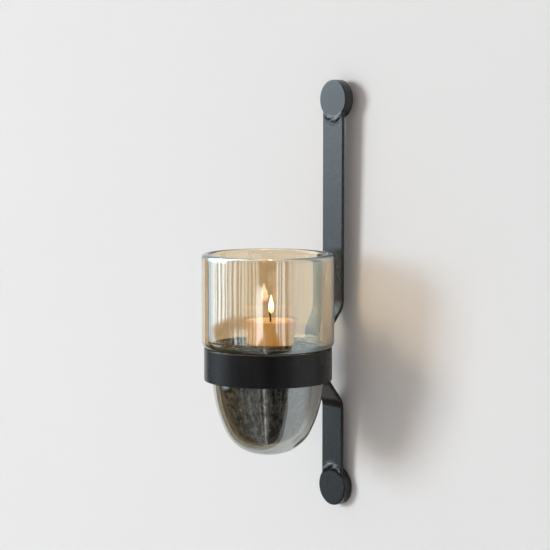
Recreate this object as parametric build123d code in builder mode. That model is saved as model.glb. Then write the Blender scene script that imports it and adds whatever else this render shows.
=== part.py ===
from build123d import *
from math import cos, radians, sin
import os

# Wall sconce for a tealight. +Z is up, the wall is the plane Y = 0 and the sconce stands
# off it towards -Y. The origin is the centre of the upper boss where it meets the wall.

# Driving dimensions, millimetres
boss_d = 28.0  # round stand-off bosses
boss_thick = 7.5
boss_spacing = 282.0
bar_wide = 21.0  # flat strap
bar_thick = 2.5
bend_r = 10.0  # on the strap's front face
edge_r = 0.5  # the strap's and the band's long edges
jog_angle = 38.0  # the strap's slope from upright between its bends
upper_jog_z = -148.4  # where the front face would turn without its bend radii
lower_jog_z = -219.7
ring_reach = 67.8  # wall to the ring's axis
ring_d = 90.4  # outside
ring_thick = 3.0
ring_top_z = -174.2
ring_high = 22.8
saddle_thick = 2.0  # between ring and strap, at the thinnest place
saddle_high = 17.0
cup_d = 93.6  # glass cylinder above the ring
cup_wall = 5.8
cup_rise = 66.4  # rim above the ring
neck_r = 39.4  # glass where it enters the ring
bullet_wall = 7.0
bullet_start_z = -194.0  # the bullet begins to taper
side_arc_r = 91.0
side_turn = 26.0
corner_arc_r = 28.4
bottom_turn = 13.2
fill_top_z = -172.6
candle_d = 38.0
candle_base_d = 34.5
candle_high = 19.0
candle_shift = (-1.2, 3.3)  # the tealight stands a little off the cup's axis
candle_skin = 0.8

# Places worked out from them
boss_r = boss_d / 2
ring_r = ring_d / 2
bar_front_y = -boss_thick
jog_front_y = -(ring_reach - ring_r - saddle_thick)
jog_rise = (bar_front_y - jog_front_y) / sin(radians(jog_angle)) * cos(radians(jog_angle))
ring_mid_z = ring_top_z - ring_high / 2
cup_axis = Axis((0, -ring_reach, 0), (0, 0, 1))
cup_plane = Plane.XZ.offset(ring_reach)
candle_x = candle_shift[0]
candle_y = -ring_reach + candle_shift[1]
candle_axis = Axis((candle_x, candle_y, 0), (0, 0, 1))
candle_plane = Plane(origin=(candle_x, candle_y, 0), x_dir=(1, 0, 0), z_dir=(0, -1, 0))
slack = 0.05  # between parts that fit into each other

os.makedirs("parts", exist_ok=True)


def save(piece, name):
    piece.part.label = name
    export_step(piece.part, "parts/" + name + ".step")


# Back bar: one flat strap, set forward behind the ring by two jogs. Each end is cut
# hollow to sit against its boss.
with BuildPart() as back_bar:
    with BuildSketch(Plane.YZ):
        with BuildLine():
            FilletPolyline(
                (bar_front_y, 0),
                (bar_front_y, upper_jog_z),
                (jog_front_y, upper_jog_z - jog_rise),
                (jog_front_y, lower_jog_z + jog_rise),
                (bar_front_y, lower_jog_z),
                (bar_front_y, -boss_spacing),
                radius=bend_r,
            )
            offset(amount=bar_thick, side=Side.LEFT)
        make_face()
    extrude(amount=bar_wide / 2, both=True)
    side_faces = back_bar.faces().sort_by(Axis.X)
    for side in (side_faces[0], side_faces[-1]):
        long_edges = side.edges().filter_by(Axis.Y, reverse=True)
        fillet(long_edges, edge_r)
    for height in (0, -boss_spacing):
        with BuildSketch(Plane.XZ.offset(boss_thick * 2)):
            with Locations((0, height)):
                Circle(boss_r + slack)
        extrude(amount=-boss_thick * 3, mode=Mode.SUBTRACT)
save(back_bar, "back_bar")

# Bosses and keyhole plates: each boss is a turned steel cup, open towards the wall. A plate
# let in flush with its back takes the head of a wall screw through a round hole, and a slot
# above the hole drops over the screw's shank.
plate_d = 24.0
plate_thick = 2.0
pocket_d = 21.5
pocket_deep = 3.5
keyhole_d = 9.0
slot_wide = 4.5
slot_rise = 6.5

for place, height in (("upper", 0), ("lower", -boss_spacing)):
    with BuildPart() as boss:
        with BuildSketch(Plane.XZ):
            with Locations((0, height)):
                Circle(boss_r)
        extrude(amount=boss_thick)
        fillet(boss.faces().sort_by(Axis.Y)[0].edges(), 0.9)
        chamfer(boss.faces().sort_by(Axis.Y)[-1].edges(), 0.3)
        with BuildSketch(Plane.XZ):
            with Locations((0, height)):
                Circle(plate_d / 2 + slack)
        extrude(amount=plate_thick, mode=Mode.SUBTRACT)
        with BuildSketch(Plane.XZ.offset(plate_thick)):
            with Locations((0, height)):
                Circle(pocket_d / 2)
        extrude(amount=pocket_deep, mode=Mode.SUBTRACT)
    save(boss, place + "_boss")

    with BuildPart() as keyhole_plate:
        with BuildSketch(Plane.XZ):
            with Locations((0, height)):
                Circle(plate_d / 2)
                Circle(keyhole_d / 2, mode=Mode.SUBTRACT)
            with Locations((0, height + slot_rise / 2)):
                SlotCenterToCenter(slot_rise, slot_wide, rotation=90, mode=Mode.SUBTRACT)
        extrude(amount=plate_thick)
    save(keyhole_plate, place + "_keyhole_plate")

# Neck welds: at each boss a low dressed bead covers the seam between strap and boss on the
# front, and a fillet bead fills the corner behind the strap.
bead_inner_r = boss_r - 1.3
bead_outer_r = boss_r + 3.4
bead_proud = 0.7
back_bead = 1.8
bead_turn = 110.0
bar_back_y = bar_front_y + bar_thick

for place, height, down in (("upper", 0, -90), ("lower", -boss_spacing, 90)):
    turn = radians(down - bead_turn / 2)
    bead_plane = Plane(
        origin=(0, 0, height),
        x_dir=(cos(turn), 0, sin(turn)),
        z_dir=(-sin(turn), 0, cos(turn)),
    )
    boss_axis = Axis((0, 0, height), (0, -1, 0))

    with BuildPart() as neck_weld:
        with BuildSketch(bead_plane):
            with BuildLine():
                Line((bead_inner_r, bar_front_y), (bead_outer_r, bar_front_y))
                ThreePointArc(
                    (bead_outer_r, bar_front_y),
                    ((bead_inner_r + bead_outer_r) / 2, bar_front_y - bead_proud),
                    (bead_inner_r, bar_front_y),
                )
            make_face()
        revolve(axis=boss_axis, revolution_arc=bead_turn)
        with BuildSketch(Plane.XZ):
            with Locations((0, height)):
                Rectangle(bar_wide - 0.6, boss_d * 2)
        extrude(amount=boss_thick * 2, mode=Mode.INTERSECT)
    save(neck_weld, place + "_neck_weld")

    with BuildPart() as back_weld:
        with BuildSketch(bead_plane):
            with BuildLine():
                Line((boss_r, bar_back_y), (boss_r + back_bead, bar_back_y))
                ThreePointArc(
                    (boss_r + back_bead, bar_back_y),
                    (boss_r + back_bead * 0.45, bar_back_y + back_bead * 0.45),
                    (boss_r, bar_back_y + back_bead),
                )
                Line((boss_r, bar_back_y + back_bead), (boss_r, bar_back_y))
            make_face()
        revolve(axis=boss_axis, revolution_arc=bead_turn)
        with BuildSketch(Plane.XZ):
            with Locations((0, height)):
                Rectangle(bar_wide - 2, boss_d * 2)
        extrude(amount=boss_thick * 2, mode=Mode.INTERSECT)
    save(back_weld, place + "_back_weld")

# Holder ring: a flat band rolled on edge, its two ends almost meeting at the back.
seam_gap = 1.6
ring_plane = Plane.XY.offset(ring_top_z - ring_high)
ring_axis = (0, -ring_reach)

with BuildPart() as holder_ring:
    with BuildSketch(ring_plane):
        with Locations(ring_axis):
            Circle(ring_r)
            Circle(ring_r - ring_thick, mode=Mode.SUBTRACT)
        with Locations((0, -ring_reach + ring_r)):
            Rectangle(seam_gap, ring_thick * 4, mode=Mode.SUBTRACT)
    extrude(amount=ring_high)
    fillet(holder_ring.edges().filter_by(GeomType.CIRCLE), edge_r)
save(holder_ring, "holder_ring")

# Seam weld: fills the gap between the band's ends, a little proud of the inside.
with BuildPart() as ring_seam_weld:
    with BuildSketch(ring_plane.offset(0.6)):
        with Locations((0, -ring_reach + ring_r - ring_thick / 2 - 0.1)):
            Rectangle(seam_gap, ring_thick + 0.2)
    extrude(amount=ring_high - 1.2)
save(ring_seam_weld, "ring_seam_weld")

# Saddle: a small block, flat against the strap and hollowed to the ring. It keeps the
# glass's shoulder, which is wider than the ring, clear of the strap.
saddle_plane = Plane.XY.offset(ring_mid_z - saddle_high / 2)

with BuildPart() as ring_saddle:
    with BuildSketch(saddle_plane):
        with Locations((0, jog_front_y)):
            Rectangle(bar_wide, saddle_thick * 2 + 2, align=(Align.CENTER, Align.MAX))
        with Locations(ring_axis):
            Circle(ring_r + slack, mode=Mode.SUBTRACT)
    extrude(amount=saddle_high)
save(ring_saddle, "ring_saddle")

# Ring welds: an upright bead down each side of the strap and saddle, onto the ring.
weld_out = 3.0

for place, way in (("left", -1), ("right", 1)):
    side_x = way * bar_wide / 2
    with BuildPart() as ring_weld:
        with BuildSketch(saddle_plane.offset(1)):
            with BuildLine():
                corner = (side_x, jog_front_y + 0.8)
                foot = (side_x + way * weld_out, jog_front_y - saddle_thick * 2 - 1)
                inner = (side_x, jog_front_y - saddle_thick * 2 - 1)
                middle = (side_x + way * weld_out * 0.62, jog_front_y - 1.2)
                Line(inner, corner)
                ThreePointArc(corner, middle, foot)
                Line(foot, inner)
            make_face()
            with Locations(ring_axis):
                Circle(ring_r + slack / 2, mode=Mode.SUBTRACT)
        extrude(amount=saddle_high - 2)
    save(ring_weld, "ring_weld_" + place)

# Glass cup: turned about the ring's axis. The bullet is three arcs that run into each
# other, and its inside shares their centres. The shoulder rests on the ring's top edge.
cup_r = cup_d / 2
seat_r = 43.2  # the flat under the shoulder ends here
shoulder_high = 5.2
rim_z = ring_top_z + cup_rise
inner_cup_r = cup_r - cup_wall
inner_step_z = ring_top_z + 4.7  # the step inside the shoulder
inner_step_low_z = ring_top_z - 8.8

side_centre = (neck_r - side_arc_r, bullet_start_z)
side_to_corner = side_arc_r - corner_arc_r
corner_centre = (
    side_centre[0] + side_to_corner * cos(radians(side_turn)),
    side_centre[1] - side_to_corner * sin(radians(side_turn)),
)
corner_to_bottom = corner_centre[0] / sin(radians(bottom_turn))
bottom_centre = (0, corner_centre[1] + corner_to_bottom * cos(radians(bottom_turn)))
bottom_arc_r = corner_arc_r + corner_to_bottom
cup_low_z = bottom_centre[1] - bottom_arc_r


def bullet(inset):
    """The bullet's outline, moved in by inset, from its lowest point up to its straight part."""
    CenterArc(bottom_centre, bottom_arc_r - inset, -90, bottom_turn)
    CenterArc(corner_centre, corner_arc_r - inset, bottom_turn - 90, 90 - bottom_turn - side_turn)
    CenterArc(side_centre, side_arc_r - inset, -side_turn, side_turn)
    Line((neck_r - inset, bullet_start_z), (neck_r - inset, inner_step_low_z))


def inner_step(gap):
    """The soft step inside the shoulder, from the bullet out to the wide part."""
    Spline(
        (neck_r - bullet_wall - gap, inner_step_low_z),
        (neck_r - 2.6 - gap, ring_top_z + 1.4),
        (inner_cup_r - gap, inner_step_z),
        tangents=((0, 1), (0, 1)),
    )


with BuildPart() as glass_cup:
    with BuildSketch(cup_plane):
        with BuildLine():
            bullet(0)
            Line((neck_r, inner_step_low_z), (neck_r, ring_top_z - 1.5))
            RadiusArc((neck_r, ring_top_z - 1.5), (neck_r + 1.5, ring_top_z), 1.5)
            Line((neck_r + 1.5, ring_top_z), (seat_r, ring_top_z))
            Spline(
                (seat_r, ring_top_z),
                (cup_r, ring_top_z + shoulder_high),
                tangents=((1, 0), (0, 1)),
            )
            Line((cup_r, ring_top_z + shoulder_high), (cup_r, rim_z))
            Line((cup_r, rim_z), (inner_cup_r, rim_z))
            Line((inner_cup_r, rim_z), (inner_cup_r, inner_step_z))
            inner_step(0)
            bullet(bullet_wall)
            Line((0, cup_low_z + bullet_wall), (0, cup_low_z))
        make_face()
    revolve(axis=cup_axis)
    fillet(glass_cup.edges().group_by(Axis.Z)[-1], 2.4)
save(glass_cup, "glass_cup")

# Gravel: fills the bullet to just below the wide part, levelled to carry the tealight.
fill_gap = 0.15

with BuildPart() as gravel_fill:
    with BuildSketch(cup_plane):
        with BuildLine():
            bullet(bullet_wall + fill_gap)
            inner_step(fill_gap)
            Line((inner_cup_r - fill_gap, inner_step_z), (0, inner_step_z))
            Line((0, inner_step_z), (0, cup_low_z + bullet_wall + fill_gap))
        make_face()
    revolve(axis=cup_axis)
    split(bisect_by=Plane.XY.offset(fill_top_z), keep=Keep.BOTTOM)
save(gravel_fill, "gravel_fill")

# Tealight cup: thin clear shell that widens upwards, with a small turned-out lip.
candle_r = candle_d / 2
candle_base_r = candle_base_d / 2
candle_top_z = fill_top_z + candle_high
candle_floor_z = fill_top_z + candle_skin
lip = 0.4
lip_high = 0.8
base_corner_r = 2.5

with BuildPart() as tealight_cup:
    with BuildSketch(candle_plane):
        with BuildLine():
            Polyline(
                (0, fill_top_z),
                (candle_base_r, fill_top_z),
                (candle_r - lip, candle_top_z - lip_high),
                (candle_r, candle_top_z - lip_high),
                (candle_r, candle_top_z),
                (candle_r - lip - candle_skin, candle_top_z),
                (candle_base_r - candle_skin, candle_floor_z),
                (0, candle_floor_z),
                close=True,
            )
        make_face()
        outer_corner = vertices().sort_by_distance((candle_base_r, fill_top_z))[0]
        fillet(outer_corner, base_corner_r)
        inner_corner = vertices().sort_by_distance((candle_base_r - candle_skin, candle_floor_z))[0]
        fillet(inner_corner, base_corner_r - candle_skin)
    revolve(axis=candle_axis)
save(tealight_cup, "tealight_cup")

# Wick sustainer: a tin disc with a collar that grips the wick, on the cup's floor.
wick_r = 0.75
sustainer_r = 7.0
sustainer_thick = 0.4
collar_r = 1.5
collar_high = 3.2

with BuildPart() as wick_sustainer:
    with BuildSketch(Plane.XY.offset(candle_floor_z)):
        with Locations((candle_x, candle_y)):
            Circle(sustainer_r)
            Circle(wick_r + slack, mode=Mode.SUBTRACT)
    extrude(amount=sustainer_thick)
    with BuildSketch(Plane.XY.offset(candle_floor_z + sustainer_thick)):
        with Locations((candle_x, candle_y)):
            Circle(collar_r)
            Circle(wick_r + slack, mode=Mode.SUBTRACT)
    extrude(amount=collar_high - sustainer_thick)
save(wick_sustainer, "wick_sustainer")

# Wax: fills the cup to below its lip, with a slightly hollow top and room for the wick
# and its sustainer.
wax_top_z = candle_top_z - 1.6
wax_dish = 0.8
wax_gap = 0.1

with BuildPart() as tealight_wax:
    with BuildSketch(candle_plane):
        with BuildLine():
            wall_lean = (candle_r - lip - candle_base_r) / candle_high
            wax_base_r = candle_base_r - candle_skin - wax_gap
            wax_top_r = wax_base_r + wall_lean * (wax_top_z - fill_top_z)
            Polyline(
                (collar_r + slack, candle_floor_z + sustainer_thick + slack),
                (sustainer_r + slack, candle_floor_z + sustainer_thick + slack),
                (sustainer_r + slack, candle_floor_z + slack),
                (wax_base_r, candle_floor_z + slack),
                (wax_top_r, wax_top_z),
            )
            ThreePointArc(
                (wax_top_r, wax_top_z),
                (wax_top_r / 2, wax_top_z - wax_dish * 0.75),
                (wick_r + slack, wax_top_z - wax_dish),
            )
            Polyline(
                (wick_r + slack, wax_top_z - wax_dish),
                (wick_r + slack, candle_floor_z + collar_high + slack),
                (collar_r + slack, candle_floor_z + collar_high + slack),
                (collar_r + slack, candle_floor_z + sustainer_thick + slack),
            )
        make_face()
        wax_corner = vertices().sort_by_distance((wax_base_r, candle_floor_z + slack))[0]
        fillet(wax_corner, base_corner_r - candle_skin)
    revolve(axis=candle_axis)
save(tealight_wax, "tealight_wax")

# Wick: stands up from the sustainer and curls over to one side where it has burnt.
wick_straight = 17.5
wick_curl_r = 9.0
wick_curl_turn = 30.0
wick_base_z = candle_floor_z + slack

with BuildPart() as wick:
    with BuildLine(candle_plane):
        stem = Line((0, wick_base_z), (0, wick_base_z + wick_straight))
        JernArc(
            start=(0, wick_base_z + wick_straight),
            tangent=(0, 1),
            radius=wick_curl_r,
            arc_size=wick_curl_turn,
        )
    with BuildSketch(Plane(origin=stem @ 0, z_dir=stem % 0)):
        Circle(wick_r)
    sweep()
save(wick, "wick")
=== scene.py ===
import math
import random

import bmesh
import bpy
from mathutils import Matrix, Vector, noise


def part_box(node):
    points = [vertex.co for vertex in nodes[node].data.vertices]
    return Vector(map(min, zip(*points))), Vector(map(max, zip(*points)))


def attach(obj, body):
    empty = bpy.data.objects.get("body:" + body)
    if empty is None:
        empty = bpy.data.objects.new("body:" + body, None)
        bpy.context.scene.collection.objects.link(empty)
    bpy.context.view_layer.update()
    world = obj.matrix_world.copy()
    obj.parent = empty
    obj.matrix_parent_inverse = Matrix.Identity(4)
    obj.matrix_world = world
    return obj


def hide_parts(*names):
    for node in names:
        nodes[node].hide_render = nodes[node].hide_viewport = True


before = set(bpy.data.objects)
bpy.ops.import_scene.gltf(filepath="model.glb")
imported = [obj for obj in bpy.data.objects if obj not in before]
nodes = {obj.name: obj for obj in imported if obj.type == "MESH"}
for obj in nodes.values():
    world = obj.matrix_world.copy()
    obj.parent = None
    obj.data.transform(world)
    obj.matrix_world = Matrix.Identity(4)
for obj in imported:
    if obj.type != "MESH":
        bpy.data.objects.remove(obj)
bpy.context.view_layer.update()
scene = bpy.context.scene

# Back bar. A length of flat steel strap, set forward behind the ring by two bends. It is
# powder coated a satin black, with a painted highlight of lighter grey along the sheared edges.


class Value:
    """A socket of a finish, so that shader maths reads as plain sums."""

    def __init__(self, finish, socket):
        self.finish = finish
        self.socket = socket

    def __getitem__(self, name):
        return Value(self.finish, self.socket.node.outputs[name])

    def maths(self, operation, *others):
        inputs = {place: value for place, value in enumerate((self, *others))}
        return self.finish.add("ShaderNodeMath", {"operation": operation}, inputs)

    def __add__(self, other):
        return self.maths("ADD", other)

    def __sub__(self, other):
        return self.maths("SUBTRACT", other)

    def __mul__(self, other):
        return self.maths("MULTIPLY", other)

    def __truediv__(self, other):
        return self.maths("DIVIDE", other)

    def __rsub__(self, other):
        return self.finish.add("ShaderNodeMath", {"operation": "SUBTRACT"}, {0: other, 1: self})

    __radd__ = __add__
    __rmul__ = __mul__


class Finish:
    """A tree of shader nodes: a material's or the sky's."""

    def __init__(self, owner):
        owner.use_nodes = True
        self.owner = owner
        self.tree = owner.node_tree
        self.tree.nodes.clear()

    def add(self, kind, settings=None, inputs=None):
        """Adds a node, gives it its settings and then its inputs, and returns its first output."""
        node = self.tree.nodes.new(kind)
        for name, value in (settings or {}).items():
            if name == "stops":
                ramp = node.color_ramp
                while len(ramp.elements) < len(value):
                    ramp.elements.new(1.0)
                for element, (place, colour) in zip(ramp.elements, value):
                    element.position = place
                    element.color = (*colour, 1.0) if len(colour) == 3 else colour
            else:
                setattr(node, name, value)
        for name, value in (inputs or {}).items():
            if isinstance(name, int):
                socket = node.inputs[name]
            else:
                socket = next(s for s in node.inputs if s.name == name and s.enabled)
            if isinstance(value, Value):
                self.tree.links.new(value.socket, socket)
            elif socket.type == "RGBA" and len(value) == 3:
                socket.default_value = (*value, 1.0)
            else:
                socket.default_value = value
        shown = [output for output in node.outputs if output.enabled]
        return Value(self, shown[0]) if shown else None

    def place(self):
        """Where a point of the piece is, in metres."""
        return self.add("ShaderNodeTexCoord")["Object"]

    def stretched(self, scale):
        return self.add("ShaderNodeMapping", {}, {"Vector": self.place(), "Scale": scale})

    def cloud(self, scale, detail=3.0, roughness=0.55, vector=None):
        """Soft noise from 0 to 1, with scale grains to the metre."""
        inputs = {"Vector": vector or self.place(), "Scale": scale, "Detail": detail, "Roughness": roughness}
        return self.add("ShaderNodeTexNoise", {}, inputs)

    def ramp(self, value, *stops):
        return self.add("ShaderNodeValToRGB", {"stops": stops}, {"Fac": value})

    def span(self, value, low, high, to_low=0.0, to_high=1.0):
        inputs = {"Value": value, "From Min": low, "From Max": high, "To Min": to_low, "To Max": to_high}
        return self.add("ShaderNodeMapRange", {}, inputs)

    def mix(self, share, first, second):
        """A colour between two, where share is 0 for the first."""
        inputs = {"Factor": share, "A": first, "B": second}
        return self.add("ShaderNodeMix", {"data_type": "RGBA"}, inputs)

    def bump(self, height, strength, distance, normal=None):
        inputs = {"Height": height, "Strength": strength, "Distance": distance}
        if normal:
            inputs["Normal"] = normal
        return self.add("ShaderNodeBump", {}, inputs)

    def edges(self, radius):
        """Near 1 on a corner sharper than the radius, and 0 on a flat."""
        soft = self.add("ShaderNodeBevel", {"samples": 4}, {"Radius": radius})
        true = self.add("ShaderNodeNewGeometry")["Normal"]
        turned = self.add("ShaderNodeVectorMath", {"operation": "DOT_PRODUCT"}, {0: soft, 1: true})
        return self.span(turned["Value"], 0.995, 0.9)

    def surface(self, **inputs):
        """The main shader. A socket's name is written with low lines for spaces."""
        named = {name.replace("_", " "): value for name, value in inputs.items()}
        return self.add("ShaderNodeBsdfPrincipled", {}, named)

    def show(self, shader, kind="ShaderNodeOutputMaterial"):
        self.add(kind, {}, {"Surface": shader})
        return self.owner


def coat(name, edge_highlight_share, gloss):
    """Satin black powder coat: a fine orange peel, and a painted highlight, duller and greyer in patches
    along sharp edges.
    """
    finish = Finish(bpy.data.materials.new(name))
    patches = finish.cloud(38.0, 4.0, 0.6)
    peel = finish.cloud(1500.0, 2.0, 0.5)
    waves = finish.cloud(160.0, 2.0, 0.5)
    # Painted highlight: lighter grey, duller patches along the sharp edges, scaled by the edge share.
    painted_edge_highlight = finish.edges(0.0007) * finish.span(finish.cloud(120.0, 5.0, 0.7), 0.35, 0.7) * edge_highlight_share
    black = finish.mix(patches, (0.003, 0.0032, 0.0036), (0.007, 0.0074, 0.0085))
    colour = finish.mix(painted_edge_highlight, black, (0.085, 0.088, 0.09))
    grain = finish.bump(peel, 0.10, 0.0002)
    grain = finish.bump(waves, 0.07, 0.0006, grain)
    shader = finish.surface(
        Base_Color=colour,
        Roughness=finish.span(patches, 0.3, 0.7, 0.25, 0.31) + painted_edge_highlight * 0.1,
        Normal=grain,
        IOR=gloss,
    )
    return finish.show(shader)


def dress(node, material):
    """Gives a node of the frame its finish."""
    piece = nodes[node]
    piece.data.materials.clear()
    piece.data.materials.append(material)


black_coat = coat("black_powder_coat", 0.8, 1.51)
dress("back_bar", black_coat)

# Bosses and keyhole plates. Turned steel pucks, one welded to each end of the bar, with a
# stamped plate let into the back of each that hooks over a screw. Coated with the bar.

for end in ("upper", "lower"):
    dress(end + "_boss", black_coat)
    dress(end + "_keyhole_plate", black_coat)

# Neck welds. Where a boss meets the bar the weld was run by hand and then dressed down with
# a grinder, which leaves low lumps and shallow flats under the coat.


def finished(name, bm, material, body, smooth=True):
    """Turns a bmesh into a piece that rides on a body."""
    mesh = bpy.data.meshes.new(name)
    bm.normal_update()
    bm.to_mesh(mesh)
    bm.free()
    mesh.polygons.foreach_set("use_smooth", [smooth] * len(mesh.polygons))
    mesh.materials.append(material)
    piece = bpy.data.objects.new(name, mesh)
    scene.collection.objects.link(piece)
    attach(piece, body)
    return piece


def lumps(point, size, seed):
    """Smooth noise from -1 to 1 at a point, with lumps of about that size."""
    return noise.noise(Vector(point) / size + Vector((seed * 7.3, seed * 3.1, seed * 5.7)))


weld_rows = 26
weld_columns = 34
weld_overlap = 0.0028
weld_length = 0.0075
weld_high = 0.00034
small_lump_high = 0.00016
crease_deep = 0.00012
bar_corner = 0.0004
weld_root = 0.0003

for number, end in enumerate(("upper", "lower")):
    low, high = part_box(end + "_neck_weld")
    boss_low, boss_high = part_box(end + "_boss")
    boss_z = (boss_low[2] + boss_high[2]) / 2
    boss_r = (boss_high[2] - boss_low[2]) / 2
    side = -1 if end == "upper" else 1
    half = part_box("back_bar")[1][0] - bar_corner
    face_y = boss_low[1]
    bm = bmesh.new()
    grid = []
    for row in range(weld_rows):
        out = row / (weld_rows - 1)
        line = []
        for column in range(weld_columns):
            across = column / (weld_columns - 1) * 2 - 1
            x = across * half
            seam = math.sqrt(boss_r**2 - min(abs(x), boss_r * 0.98) ** 2)
            z = boss_z + side * (seam - weld_overlap + out * weld_length)
            wander = 0.22 * lumps((x, 0, 0), 0.0052, number + 2)
            bead = math.exp(-(((out - 0.42 - wander) / 0.26) ** 2)) * weld_high
            bead += weld_high * lumps((x, 0, z), 0.0034, number) * math.sin(math.pi * out)
            bead += small_lump_high * lumps((x, 0, z * 1.6), 0.0015, number + 5) * math.sin(math.pi * out)
            crease = math.exp(-(((out - 0.80 - wander * 1.3) / 0.035) ** 2))
            bead -= crease_deep * crease * max(0.0, 0.7 - across)
            fade = min(1.0, (1 - abs(across)) * 5) * min(1.0, out * 6, (1 - out) * 6)
            line.append(bm.verts.new((x, face_y - max(0.0, bead) * fade - 0.00002, z)))
        grid.append(line)
    front = [vert for line in grid for vert in line]
    back = {vert: bm.verts.new((vert.co.x, face_y + weld_root, vert.co.z)) for vert in front}
    flip = side > 0
    for upper_line, lower_line in zip(grid, grid[1:]):
        for column in range(weld_columns - 1):
            quad = (upper_line[column], upper_line[column + 1], lower_line[column + 1], lower_line[column])
            bm.faces.new(quad if flip else quad[::-1])
            behind = tuple(back[vert] for vert in quad)
            bm.faces.new(behind[::-1] if flip else behind)
    rim = grid[0] + [line[-1] for line in grid[1:]]
    rim += grid[-1][-2::-1] + [line[0] for line in grid[-2:0:-1]]
    for first, second in zip(rim, rim[1:] + rim[:1]):
        bm.faces.new((first, second, back[second], back[first]))
    bmesh.ops.recalc_face_normals(bm, faces=bm.faces)
    weld = finished(end + "_dressed_weld", bm, black_coat, "bracket")
    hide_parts(end + "_neck_weld")
    dress(end + "_back_weld", black_coat)

# Holder ring. Flat steel band rolled on edge and butt welded at the back, where a small
# saddle block and two upright beads join it to the bar.

ring_coat = coat("black_ring_coat", 1.0, 1.40)
for node in ("holder_ring", "ring_seam_weld", "ring_saddle", "ring_weld_left", "ring_weld_right"):
    dress(node, ring_coat)

# Glass cup. Thick pressed glass with a metallic lustre on the outside: part mirror, part
# amber tint. It is wide above the ring and a hollow bullet below it, and slightly wavy.

cup_low, cup_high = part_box("glass_cup")
ring_low, ring_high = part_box("holder_ring")
cup_x = (cup_low[0] + cup_high[0]) / 2
cup_y = (cup_low[1] + cup_high[1]) / 2
cup_r = (cup_high[0] - cup_low[0]) / 2
rim_z = cup_high[2]
seat_z = ring_high[2]


def arc(centre, radius, start, turn, steps):
    """Points along an arc, as radius and height, with angles in degrees."""
    points = []
    for step in range(steps + 1):
        angle = math.radians(start + turn * step / steps)
        points.append((centre[0] + radius * math.cos(angle), centre[1] + radius * math.sin(angle)))
    return points


def curve(first, first_way, second, second_way, steps):
    """Points along a curve that leaves first and reaches second in the given directions."""
    points = []
    for step in range(steps + 1):
        t = step / steps
        weights = (2 * t**3 - 3 * t**2 + 1, t**3 - 2 * t**2 + t, 3 * t**2 - 2 * t**3, t**3 - t**2)
        parts = (first, first_way, second, second_way)
        points.append(tuple(sum(w * part[axis] for w, part in zip(weights, parts)) for axis in (0, 1)))
    return points


def straight(first, second, steps):
    return [
        tuple(a + (b - a) * step / steps for a, b in zip(first, second)) for step in range(steps + 1)
    ]


# The bullet is three arcs that run into each other, from its lowest point up.
neck_r = 0.0394
taper_z = seat_z - 0.0198
side_r = 0.091
side_turn = 26.0
corner_r = 0.0284
bottom_turn = 13.2
side_centre = (neck_r - side_r, taper_z)
corner_centre = (
    side_centre[0] + (side_r - corner_r) * math.cos(math.radians(side_turn)),
    side_centre[1] - (side_r - corner_r) * math.sin(math.radians(side_turn)),
)
lift = corner_centre[0] / math.sin(math.radians(bottom_turn))
bottom_centre = (0.0, corner_centre[1] + lift * math.cos(math.radians(bottom_turn)))
neck_low_z = seat_z - 0.0088


def bullet(inset):
    """The bullet's outline, moved in by inset, from its lowest point to its straight neck."""
    points = arc(bottom_centre, corner_r + lift - inset, -90, bottom_turn, 10)
    points += arc(corner_centre, corner_r - inset, bottom_turn - 90, 90 - bottom_turn - side_turn, 22)[1:]
    points += arc(side_centre, side_r - inset, -side_turn, side_turn, 22)[1:]
    return points + straight((neck_r - inset, taper_z), (neck_r - inset, neck_low_z), 5)[1:]


cup_wall = 0.0058
bullet_wall = 0.007
inner_r = cup_r - cup_wall
step_z = seat_z + 0.0047


def inner_step(gap):
    """The soft step inside the shoulder, from the bullet out to the wide part."""
    low = (neck_r - bullet_wall - gap, neck_low_z)
    middle = (neck_r - 0.0026 - gap, seat_z + 0.0014)
    top = (inner_r - gap, step_z)
    slope = (0.0056, 0.0040)
    points = curve(low, (0.0, 0.012), middle, slope, 12)
    return points + curve(middle, slope, top, (0.0, 0.0044), 12)[1:]


def turned(outline, centre, around, wobble=0.0, seed=0):
    """A bmesh turned from an outline of radius and height, which starts and ends on its axis."""
    bm = bmesh.new()
    lines = []
    for radius, height in outline:
        if radius < 1e-6:
            lines.append([bm.verts.new((centre[0], centre[1], height))])
            continue
        line = []
        for step in range(around):
            angle = 2 * math.pi * step / around
            shift = wobble * lumps((math.cos(angle) * 0.05, math.sin(angle) * 0.05, height), 0.022, seed)
            reach = radius + shift
            x = centre[0] + reach * math.cos(angle)
            y = centre[1] + reach * math.sin(angle)
            line.append(bm.verts.new((x, y, height)))
        lines.append(line)
    for first, second in zip(lines, lines[1:]):
        for step in range(around):
            after = (step + 1) % around
            if len(first) == 1:
                bm.faces.new((first[0], second[after], second[step]))
            elif len(second) == 1:
                bm.faces.new((first[step], first[after], second[0]))
            else:
                bm.faces.new((first[step], first[after], second[after], second[step]))
    return bm


rim_r = 0.0024
under_r = 0.0015
seat_edge = (0.0432, seat_z)
shoulder_top = (cup_r, seat_z + 0.0052)
outer_shell = bullet(0.0)
outer_shell += straight((neck_r, neck_low_z), (neck_r, seat_z - under_r), 4)[1:]
outer_shell += arc((neck_r + under_r, seat_z - under_r), under_r, 180, -90, 5)[1:]
outer_shell += straight((neck_r + under_r, seat_z), seat_edge, 3)[1:]
outer_shell += curve(seat_edge, (0.0056, 0.0), shoulder_top, (0.0, 0.0078), 12)[1:]
outer_shell += straight(shoulder_top, (cup_r, rim_z - rim_r), 30)[1:]
outer_shell += arc((cup_r - rim_r, rim_z - rim_r), rim_r, 0, 90, 6)[1:]
inner_shell = arc((inner_r + rim_r, rim_z - rim_r), rim_r, 90, 90, 6)
inner_shell += straight((inner_r, rim_z - rim_r), (inner_r, step_z), 30)[1:]
inner_shell += inner_step(0.0)[::-1][1:]
inner_shell += bullet(bullet_wall)[::-1][1:]

around = 160
waviness = 0.00012
cup_bm = turned(outer_shell + inner_shell, (cup_x, cup_y), around, waviness, 3)


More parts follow.
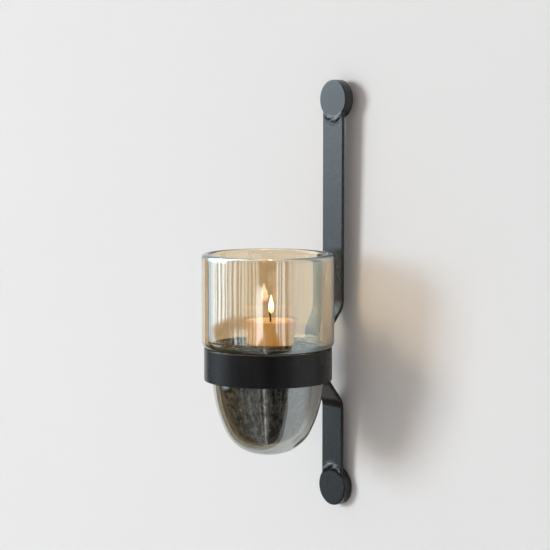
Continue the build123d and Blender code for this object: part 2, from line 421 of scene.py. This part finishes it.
def lustre_glass():
    """Amber glass, smokier down the bullet, with part of its outside a bluish mirror."""
    finish = Finish(bpy.data.materials.new("amber_lustre_glass"))
    outside = finish.add("ShaderNodeAttribute", {"attribute_name": "lustred"})["Fac"]
    clouds = finish.cloud(30.0, 3.0, 0.5)
    streaks = finish.cloud(1.0, 2.0, 0.5, finish.stretched((160.0, 160.0, 14.0)))
    ripples = finish.bump(streaks, 0.035, 0.0012)
    amber = finish.mix(clouds, (1.0, 0.665, 0.35), (0.98, 0.63, 0.31))
    height = finish.add("ShaderNodeSeparateXYZ", {}, {"Vector": finish.place()})["Z"]
    smoky = finish.span(height, ring_high[2], ring_low[2])
    amber = finish.mix(smoky, amber, (0.45, 0.40, 0.30))
    deep = finish.span(height, cup_low[2] + 0.013, cup_low[2] + 0.002)
    amber = finish.mix(deep, amber, (0.26, 0.25, 0.20))
    glass = finish.surface(
        Base_Color=finish.mix(outside, (1.0, 0.985, 0.96), amber),
        Roughness=0.0,
        IOR=1.5,
        Transmission_Weight=1.0,
        Normal=ripples,
    )
    blue = finish.mix(clouds, (0.74, 0.93, 0.98), (0.67, 0.86, 0.91))
    silver = finish.surface(
        Base_Color=finish.mix(smoky, blue, (0.85, 0.93, 0.96)),
        Metallic=1.0,
        Roughness=finish.span(clouds, 0.3, 0.7, 0.01, 0.05),
        Normal=ripples,
    )
    from_within = finish.add("ShaderNodeNewGeometry")["Backfacing"]
    share = finish.span(clouds, 0.25, 0.75, 0.29, 0.34) * outside * (1.0 - from_within * 0.5)
    cup = finish.add("ShaderNodeMixShader", {}, {0: share, 1: glass, 2: silver})
    passed = finish.mix(outside, (0.97, 0.96, 0.95), (0.74, 0.63, 0.52))
    clear = finish.add("ShaderNodeBsdfTransparent", {}, {"Color": passed})
    lamp = finish.add("ShaderNodeLightPath")["Is Shadow Ray"]
    both = finish.add("ShaderNodeMixShader", {}, {0: lamp, 1: cup, 2: clear})
    body = finish.add("ShaderNodeVolumeAbsorption", {}, {"Color": (0.42, 0.42, 0.38), "Density": 7.0})
    finish.add("ShaderNodeOutputMaterial", {}, {"Surface": both, "Volume": body})
    return finish.owner


glass_cup = finished("lustre_glass_cup", cup_bm, lustre_glass(), "glass")
lustred = glass_cup.data.attributes.new("lustred", "FLOAT", "POINT")
outer_points = (len(outer_shell) - 1) * around + 1
outside_marks = [float(index < outer_points) for index in range(len(glass_cup.data.vertices))]
lustred.data.foreach_set("value", outside_marks)
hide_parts("glass_cup")

# Gravel. Fine dark aquarium gravel poured into the bullet and levelled. It is packed
# against the glass, with loose grains on top, whose paler grains carry painted light.

fill_low, fill_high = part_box("gravel_fill")
fill_gap = 0.0002


def stones(name, pale):
    """Mixed dark stone: charcoal, brown and a few pale grains, dusty and dull. The second argument lightens
    the paler grains, as painted light where it is above one.
    """
    finish = Finish(bpy.data.materials.new(name))
    cells = finish.add("ShaderNodeTexVoronoi", {}, {"Vector": finish.place(), "Scale": 480.0})
    grains = finish.ramp(
        finish.span(cells["Color"], 0.25, 0.75),
        (0.0, (0.010, 0.009, 0.008)),
        (0.42, (0.035, 0.030, 0.024)),
        (0.6, (0.075 * pale, 0.062 * pale, 0.045 * pale)),
        (0.8, (0.16 * pale, 0.14 * pale, 0.11 * pale)),
        (1.0, (0.30 * pale, 0.27 * pale, 0.22 * pale)),
    )
    dust = finish.cloud(900.0, 4.0, 0.6)
    colour = finish.mix(finish.span(dust, 0.5, 0.9, 0.0, 0.35), grains, (0.15, 0.14, 0.12))
    pits = finish.bump(finish.cloud(2400.0, 4.0, 0.65), 0.5, 0.0004)
    seams = finish.bump(cells["Distance"], 0.7, 0.0009, pits)
    rough = finish.span(dust, 0.2, 0.8, 0.6, 0.9)
    return finish.show(finish.surface(Base_Color=colour, Roughness=rough, Normal=seams))


gravel_look = stones("dark_gravel", 1.0)
inside = bullet(bullet_wall + fill_gap) + inner_step(fill_gap)[1:]
packed_z = fill_high[2] - 0.0006
packed = [point for point in inside if point[1] < packed_z]
packed += straight((packed[-1][0] - 0.0008, packed_z), (0.0, packed_z), 30)
packed[-1] = (0.0, packed_z)
core = finished("gravel_core", turned(packed, (cup_x, cup_y), 150), gravel_look, "glass")
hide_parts("gravel_fill")

random.seed(12)


def grain(bm, centre, size):
    """One angular little stone."""
    made = bmesh.ops.create_icosphere(bm, subdivisions=1, radius=size)["verts"]
    stretch = Vector([random.uniform(0.65, 1.2) for _ in range(3)])
    spin = Vector([random.uniform(-1, 1) for _ in range(3)]).normalized()
    angle = random.uniform(0, math.pi)
    for vert in made:
        vert.co *= random.uniform(0.8, 1.15)
        vert.co = Vector(a * b for a, b in zip(vert.co, stretch))
    bmesh.ops.rotate(bm, verts=made, cent=(0, 0, 0), matrix=Matrix.Rotation(angle, 3, spin))
    bmesh.ops.translate(bm, verts=made, vec=centre)


candle_low, candle_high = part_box("tealight_cup")
candle_x = (candle_low[0] + candle_high[0]) / 2
candle_y = (candle_low[1] + candle_high[1]) / 2
candle_base_r = 0.0174
grain_tries = 1100
loose = bmesh.new()
for _ in range(grain_tries):
    angle = random.uniform(0, 2 * math.pi)
    size = random.uniform(0.0007, 0.0015)
    reach = (fill_high[0] - cup_x - size * 1.5) * math.sqrt(random.random())
    x = cup_x + reach * math.cos(angle)
    y = cup_y + reach * math.sin(angle)
    if math.hypot(x - candle_x, y - candle_y) < candle_base_r + size:
        continue
    grain(loose, (x, y, fill_high[2] - size * 0.6), size)
# The loose grains on top are a copy of the gravel with its paler grains twice as light: painted light on the
# top of the fill.
top_grains = finished("loose_grains", loose, stones("painted_light_top_gravel", 2.0), "glass", smooth=False)

# Tealight. A thin clear cup of paraffin wax with a tin sustainer in its floor and a braided
# cotton wick. The wick is lit, and the wax round it has melted clear. The wax has a painted glow.

clear = Finish(bpy.data.materials.new("clear_cup"))
haze = clear.cloud(90.0, 3.0, 0.5)
shell = clear.surface(
    Base_Color=clear.mix(haze, (0.98, 0.96, 0.92), (0.93, 0.90, 0.84)),
    Roughness=clear.span(haze, 0.3, 0.7, 0.08, 0.2),
    IOR=1.45,
    Transmission_Weight=1.0,
)
open_air = clear.add("ShaderNodeBsdfTransparent", {}, {"Color": (0.95, 0.94, 0.92)})
lamp = clear.add("ShaderNodeLightPath")["Is Shadow Ray"]
thin = clear.add("ShaderNodeMixShader", {}, {0: 0.7, 1: shell, 2: open_air})
clear.show(clear.add("ShaderNodeMixShader", {}, {0: lamp, 1: thin, 2: open_air}))
dress("tealight_cup", clear.owner)

wax = Finish(bpy.data.materials.new("warm_wax"))
wax_low, wax_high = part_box("tealight_wax")
mottle = wax.cloud(160.0, 4.0, 0.6)
height = wax.add("ShaderNodeSeparateXYZ", {}, {"Vector": wax.place()})["Z"]
glow = wax.span(height, wax_low[2], wax_high[2])
wax.show(
    wax.surface(
        Base_Color=wax.mix(mottle, (0.74, 0.58, 0.38), (0.66, 0.50, 0.31)),
        Roughness=wax.span(mottle, 0.3, 0.7, 0.32, 0.5),
        Subsurface_Weight=0.4,
        Subsurface_Scale=0.004,
        # Painted glow: the wax emits light in place of the flame's light shining through it, paler towards
        # its top.
        Emission_Color=wax.mix(glow, (0.60, 0.34, 0.085), (0.55, 0.37, 0.17)),
        Emission_Strength=0.95,
        Normal=wax.bump(mottle, 0.15, 0.0006),
    )
)
dress("tealight_wax", wax.owner)

tin = Finish(bpy.data.materials.new("bright_tin"))
scuffs = tin.cloud(500.0, 4.0, 0.6)
tin.show(
    tin.surface(
        Base_Color=tin.mix(scuffs, (0.62, 0.62, 0.62), (0.45, 0.44, 0.43)),
        Metallic=1.0,
        Roughness=tin.span(scuffs, 0.3, 0.7, 0.25, 0.45),
    )
)
dress("wick_sustainer", tin.owner)

char = Finish(bpy.data.materials.new("charred_wick"))
braid = char.add(
    "ShaderNodeTexWave",
    {"wave_type": "BANDS", "bands_direction": "DIAGONAL"},
    {"Vector": char.place(), "Scale": 700.0, "Distortion": 2.0},
)
char.show(
    char.surface(
        Base_Color=char.mix(braid, (0.012, 0.010, 0.009), (0.07, 0.055, 0.045)),
        Roughness=0.9,
        Normal=char.bump(braid, 0.6, 0.0003),
    )
)
dress("wick", char.owner)

# Flame. A single still candle flame, dull and thin at its base, white gold in the middle
# and golden at its tip. It stands on the wick and moves with the candle.

wick_low, wick_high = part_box("wick")
flame_x = wick_low[0] + 0.0015
flame_y = candle_y + 0.0009
flame_low_z = wick_high[2] - 0.0010
flame_tall = 0.0134
flame_wide = 0.0023
flame_steps = 28
flame_outline = []
for step in range(flame_steps + 1):
    t = step / flame_steps
    swell = math.sin(math.pi * t**0.62) ** 0.85 * (1 - 0.3 * t)
    reach = flame_wide * swell if 0 < step < flame_steps else 0.0
    flame_outline.append((reach, flame_low_z + flame_tall * t))
fire = Finish(bpy.data.materials.new("flame"))
height = fire.add("ShaderNodeSeparateXYZ", {}, {"Vector": fire.place()})["Z"]
up = fire.span(height, flame_low_z, flame_low_z + flame_tall)
heat = fire.ramp(
    up,
    (0.0, (0.30, 0.16, 0.10)),
    (0.14, (1.0, 0.50, 0.18)),
    (0.36, (1.0, 0.92, 0.72)),
    (1.0, (1.0, 0.80, 0.50)),
)
fire.show(
    fire.surface(
        Base_Color=(0.0, 0.0, 0.0),
        Specular_IOR_Level=0.0,
        Emission_Color=heat,
        Emission_Strength=6.0,
    )
)
flame = finished("flame", turned(flame_outline, (flame_x, flame_y), 24), fire.owner, "candle")

flame_light = bpy.data.lights.new("flame_light", "POINT")
flame_light.energy = 0.016
flame_light.color = (1.0, 0.56, 0.24)
flame_light.shadow_soft_size = 0.003
flame_lamp = bpy.data.objects.new("flame_light", flame_light)
flame_lamp.location = (flame_x, flame_y, flame_low_z + flame_tall * 0.5)
flame_lamp.visible_glossy = False
flame_lamp.visible_transmission = False
scene.collection.objects.link(flame_lamp)
flame_lamp.parent = flame

# Room. A pale plastered wall and floor, and round them the room that the glass and the coat
# mirror: a curtained window to the left, a doorway, a pale post and light on a dark floor.

# The wall leans away behind the upper boss, which widens the shadow beside the bar.
wall_lean = 0.019
wall_gap = 0.0005
wall_reach = 4.0
wall_rise = 3.0
floor_reach = 6
floor_z = -0.62


def sheet(name, corners, material):
    mesh = bpy.data.meshes.new(name)
    mesh.from_pydata(corners, [], [(0, 1, 2, 3)])
    mesh.materials.append(material)
    thing = bpy.data.objects.new(name, mesh)
    scene.collection.objects.link(thing)
    return thing


plaster = Finish(bpy.data.materials.new("pale_plaster"))
mottle = plaster.cloud(2.5, 4.0, 0.5)
paint = plaster.surface(
    Base_Color=plaster.mix(mottle, (0.80, 0.80, 0.80), (0.83, 0.83, 0.83)),
    Roughness=0.9,
    Specular_IOR_Level=0.2,
)
gone = plaster.add("ShaderNodeBsdfTransparent")
behind = plaster.add("ShaderNodeNewGeometry")["Backfacing"]
plaster.show(plaster.add("ShaderNodeMixShader", {}, {0: behind, 1: paint, 2: gone}))
wall_corners = []
for side_x, side_z in ((-1, -1), (1, -1), (1, 1), (-1, 1)):
    x = side_x * wall_reach
    z = side_z * wall_rise
    wall_corners.append((x, wall_gap + (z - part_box("lower_boss")[0][2]) * wall_lean, z))
sheet("wall", wall_corners, plaster.owner)

floor_look = Finish(bpy.data.materials.new("pale_floor"))
floor_look.show(floor_look.surface(Base_Color=(0.75, 0.75, 0.74), Roughness=0.8))
floor_corners = []
for side_x, side_y in ((-1, -1), (1, -1), (1, 1), (-1, 1)):
    floor_corners.append((side_x * floor_reach, side_y * floor_reach, floor_z))
floor = sheet("floor", floor_corners, floor_look.owner)
floor.visible_glossy = False
floor.visible_transmission = False

sky = Finish(bpy.data.worlds.new("room"))
scene.world = sky.owner
way_socket = sky.add("ShaderNodeTexCoord")["Generated"]
way = sky.add("ShaderNodeSeparateXYZ", {}, {"Vector": way_socket})
turn = way["X"].maths("ARCTAN2", 0.0 - way["Y"]) / math.pi * 0.5 + 0.5
level = way["Z"]


def bearing(degrees):
    """Where a bearing falls on the ramp: 0 looks out from the wall, and 90 along it to the right."""
    return degrees / 360 + 0.5


room = sky.ramp(
    turn,
    (bearing(-96), (0.55, 0.56, 0.57)),
    (bearing(-90), (0.22, 0.21, 0.20)),
    (bearing(-76), (0.26, 0.25, 0.24)),
    (bearing(-71), (1.10, 1.36, 1.55)),
    (bearing(-50), (1.15, 1.40, 1.58)),
    (bearing(-40), (1.20, 1.30, 1.36)),
    (bearing(-16), (0.80, 0.84, 0.86)),
    (bearing(0), (0.66, 0.68, 0.68)),
    (bearing(16), (0.46, 0.42, 0.37)),
    (bearing(28), (0.70, 0.67, 0.63)),
    (bearing(37), (0.07, 0.045, 0.03)),
    (bearing(60), (0.06, 0.04, 0.025)),
    (bearing(64), (0.64, 0.66, 0.68)),
    (bearing(82), (0.66, 0.66, 0.67)),
    (bearing(86), (0.20, 0.18, 0.16)),
    (bearing(90), (0.60, 0.60, 0.60)),
)
below = sky.ramp(
    turn,
    (bearing(-90), (0.14, 0.105, 0.07)),
    (bearing(-30), (0.10, 0.08, 0.055)),
    (bearing(0), (0.22, 0.21, 0.195)),
    (bearing(36), (0.25, 0.24, 0.225)),
    (bearing(42), (0.50, 0.46, 0.42)),
    (bearing(45), (0.50, 0.46, 0.42)),
    (bearing(49), (0.18, 0.16, 0.14)),
    (bearing(58), (0.06, 0.055, 0.045)),
    (bearing(90), (0.07, 0.065, 0.06)),
)
folds_noise = sky.add(
    "ShaderNodeTexNoise",
    {"noise_dimensions": "1D"},
    {"W": turn * 72.0, "Scale": 1.0, "Detail": 2.0},
)
curtain = sky.span(turn, bearing(-62), bearing(-50), 0.35, 1.0)
folds = sky.span(folds_noise, 0.42, 0.56, 0.25, 1.75) * curtain + (1.0 - curtain)
glare = sky.span(level, -0.077, 0.02, 0.0, 2.7) * sky.span(turn, bearing(-22), bearing(-32))
folds = folds + glare
mess = sky.add("ShaderNodeTexNoise", {}, {"Vector": way_socket, "Scale": 9.0, "Detail": 4.0})
clutter = sky.span(mess, 0.35, 0.65, 0.45, 1.6) * sky.span(level, -0.32, -0.14, 1.0, 0.5)
rails = sky.span(turn, bearing(20), bearing(34), 0.25, 1.0)
clutter = clutter * (1.0 + sky.span(folds_noise, 0.42, 0.58, -0.45, 0.45) * rails)
high = sky.span(level, -0.1325, -0.1265)
upper = sky.add("ShaderNodeBackground", {}, {"Color": room, "Strength": folds})
lower = sky.add("ShaderNodeBackground", {}, {"Color": below, "Strength": clutter})
seen = sky.add("ShaderNodeMixShader", {}, {0: high, 1: lower, 2: upper})
pool = sky.span(turn, bearing(-62), bearing(-54)) * sky.span(turn, bearing(-36), bearing(-44))
pool = pool * sky.span(level, -0.15, -0.18) * sky.span(level, -0.25, -0.20)
wet = sky.add("ShaderNodeBackground", {}, {"Color": (1.15, 1.43, 1.62), "Strength": 1.0})
seen = sky.add("ShaderNodeMixShader", {}, {0: pool, 1: seen, 2: wet})
post = sky.span(turn, bearing(28), bearing(30)) * sky.span(turn, bearing(42), bearing(40))
post = post * sky.span(level, -0.104, -0.108) * sky.span(level, -0.138, -0.134)
pale = sky.add("ShaderNodeBackground", {}, {"Color": (1.8, 1.6, 1.5), "Strength": 1.0})
seen = sky.add("ShaderNodeMixShader", {}, {0: post, 1: seen, 2: pale})
fill = sky.add("ShaderNodeBackground", {}, {"Color": (0.446, 0.398, 0.375), "Strength": 1.0})
plain = sky.add("ShaderNodeBackground", {}, {"Color": (0.80, 0.80, 0.80), "Strength": 1.0})
path = sky.add("ShaderNodeLightPath")
seen = sky.add("ShaderNodeMixShader", {}, {0: path["Is Diffuse Ray"], 1: seen, 2: fill})
seen = sky.add("ShaderNodeMixShader", {}, {0: path["Is Camera Ray"], 1: seen, 2: plain})
sky.show(seen, "ShaderNodeOutputWorld")
scene.world.cycles.sampling_method = "NONE"



def away(degrees_right, degrees_up):
    """The direction out from the wall, turned to the right and then up."""
    turned_by = math.radians(degrees_right)
    rise = math.radians(degrees_up)
    level_part = math.cos(rise)
    return Vector((math.sin(turned_by) * level_part, -math.cos(turned_by) * level_part, math.sin(rise)))


window_bearing = -34.0
window_rise = 9.0
window_far = 8.0
window_wide = 3.1
window_tall = 2.8
light = bpy.data.lights.new("window", "AREA")
light.shape = "RECTANGLE"
light.size = window_wide
light.size_y = window_tall
light.energy = 412.0
light.color = (0.915, 0.968, 1.0)
window = bpy.data.objects.new("window", light)
scene.collection.objects.link(window)
window_way = away(window_bearing, window_rise)
window.location = Vector((cup_x, cup_y, seat_z)) + window_way * window_far
window.rotation_euler = window_way.to_track_quat("Z", "Y").to_euler()
window.visible_camera = False
window.visible_glossy = False
window.visible_transmission = False

# Camera, standing to the right of the sconce and a little above its cup.

camera = bpy.data.cameras.new("camera")
camera.sensor_width = 36.0
camera.lens = 121.7
camera.clip_end = 50.0
eye = bpy.data.objects.new("camera", camera)
scene.collection.objects.link(eye)
camera_bearing = 50.0
camera_rise = 5.541
camera_far = 1.3454
target = Vector((-0.0255, -0.040, -0.1266))
outward = away(camera_bearing, camera_rise)
eye.location = target + outward * camera_far
eye.rotation_euler = outward.to_track_quat("Z", "Y").to_euler()
scene.camera = eye
scene.view_settings.view_transform = "Standard"
scene.cycles.max_bounces = 24
scene.cycles.transmission_bounces = 16
scene.cycles.transparent_max_bounces = 16
